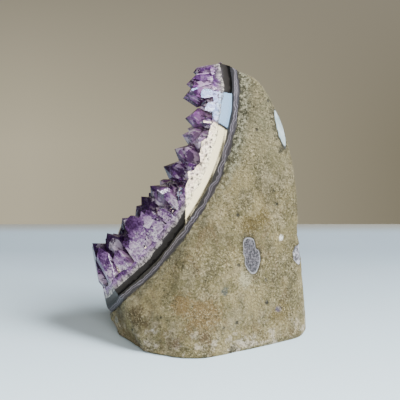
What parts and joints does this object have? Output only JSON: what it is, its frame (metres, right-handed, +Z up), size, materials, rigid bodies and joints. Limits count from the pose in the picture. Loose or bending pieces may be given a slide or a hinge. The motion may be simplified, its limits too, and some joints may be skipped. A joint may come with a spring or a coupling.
{
  "type": "amethyst geode",
  "caption": "Cut-base amethyst geode display stone: weathered basalt back, agate and chalcedony rim, open face of purple crystals.",
  "frame": {"origin": "middle of the bounding box on the sawn flat base", "axes": "+Z up, the crystal face looks towards -X and up, the side with the small agate nodule looks towards -Y"},
  "size_m": [0.0864, 0.0642, 0.107],
  "materials": {
    "basalt": "weathered, matt",
    "agate": "polished, banded",
    "chalcedony": "polished",
    "amethyst": "glassy natural crystal faces, polished where ground",
    "nodule_agate": "waxy",
    "nodule_quartz": "sugary",
    "nodule_chalcedony": "glassy"
  },
  "bodies": {
    "root": {"basalt_rock": "basalt", "banded_agate": "agate", "grey_chalcedony": "chalcedony", "amethyst_druse": "amethyst", "agate_nodule": "nodule_agate", "quartz_nodule": "nodule_quartz", "chalcedony_nodule": "nodule_chalcedony"}
  },
  "joints": []
}
